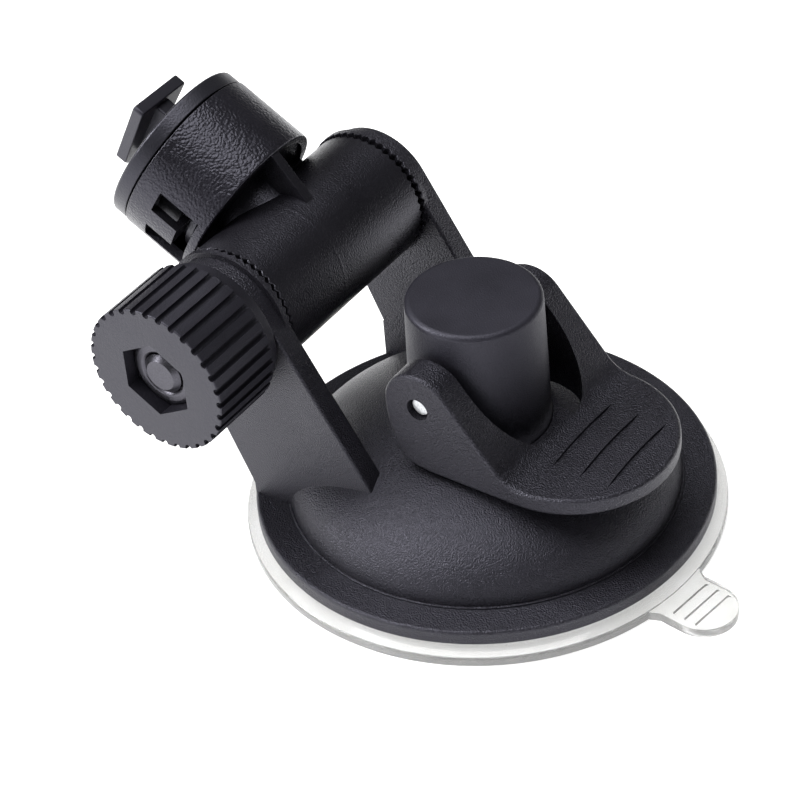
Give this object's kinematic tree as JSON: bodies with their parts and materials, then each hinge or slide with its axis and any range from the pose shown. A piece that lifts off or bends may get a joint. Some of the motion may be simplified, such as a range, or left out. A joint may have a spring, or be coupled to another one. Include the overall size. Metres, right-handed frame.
{
  "type": "dash camera suction mount",
  "caption": "Windscreen suction mount for a small dash camera: dome base with locking lever, tilting toothed head and rotating tee hook.",
  "frame": {"origin": "centre of the suction face, on the glass", "axes": "+Z leaves the glass through the stem, +X points to the lever's finger pad, the tilt axis lies along Y with the knob on -Y"},
  "size_m": [0.1011, 0.0682, 0.0557],
  "materials": {
    "abs_black_spark": "black ABS moulding with a fine spark-eroded texture",
    "abs_black_pebble": "black ABS moulding with a coarser pebble texture, slightly glossy",
    "abs_black_knob": "black ABS moulding, matt, on the ribbed knob",
    "pvc_clear": "soft clear PVC, milky and glossy",
    "steel_zinc": "cold-headed steel pin, bright zinc",
    "steel_black": "black oxide steel",
    "steel_spring": "bright spring steel strip"
  },
  "bodies": {
    "base": {"base_shell": "abs_black_spark", "suction_cup": "pvc_clear", "clamp_bolt": "steel_black"},
    "stem": {"stem_post": "abs_black_spark", "cup_core": "abs_black_spark", "lever_pin": "steel_zinc"},
    "lever": {"lever": "abs_black_spark"},
    "washer": {"knob_washer": "steel_black"},
    "knob": {"clamp_knob": "abs_black_knob", "clamp_nut": "steel_black"},
    "head": {"swivel_head": "abs_black_pebble", "spring_washer": "steel_spring"},
    "hook": {"camera_hook": "abs_black_pebble"}
  },
  "joints": [
    {"name": "stem_slide", "type": "slide", "parent": "base", "child": "stem", "axis": [0, 0, 1], "range_m": [-0.0024, 0], "deforming": ["suction_cup"]},
    {"name": "lever_flip", "type": "hinge", "parent": "stem", "child": "lever", "pos_m": [0, 0, 0.0266], "axis": [0, -1, 0], "range_deg": [0, 100]},
    {"name": "washer_slide", "type": "slide", "parent": "base", "child": "washer", "axis": [0, -1, 0], "range_m": [0, 0.002]},
    {"name": "knob_turn", "type": "hinge", "parent": "washer", "child": "knob", "pos_m": [-0.02877, -0.0265, 0.03333], "axis": [0, -1, 0], "range_deg": [0, 720]},
    {"name": "head_tilt", "type": "hinge", "parent": "base", "child": "head", "pos_m": [-0.02877, 0, 0.03333], "axis": [0, 1, 0], "range_deg": [-78, 85]},
    {"name": "hook_spin", "type": "hinge", "parent": "head", "child": "hook", "pos_m": [-0.04816, 0, 0.04373], "axis": [-0.8813, 0, 0.4726], "continuous": true}
  ],
  "couplings": [
    {"joint": "lever_flip", "follows": "stem_slide", "rad_per_m": -727.22},
    {"joint": "knob_turn", "follows": "washer_slide", "rad_per_m": 6283.2}
  ]
}
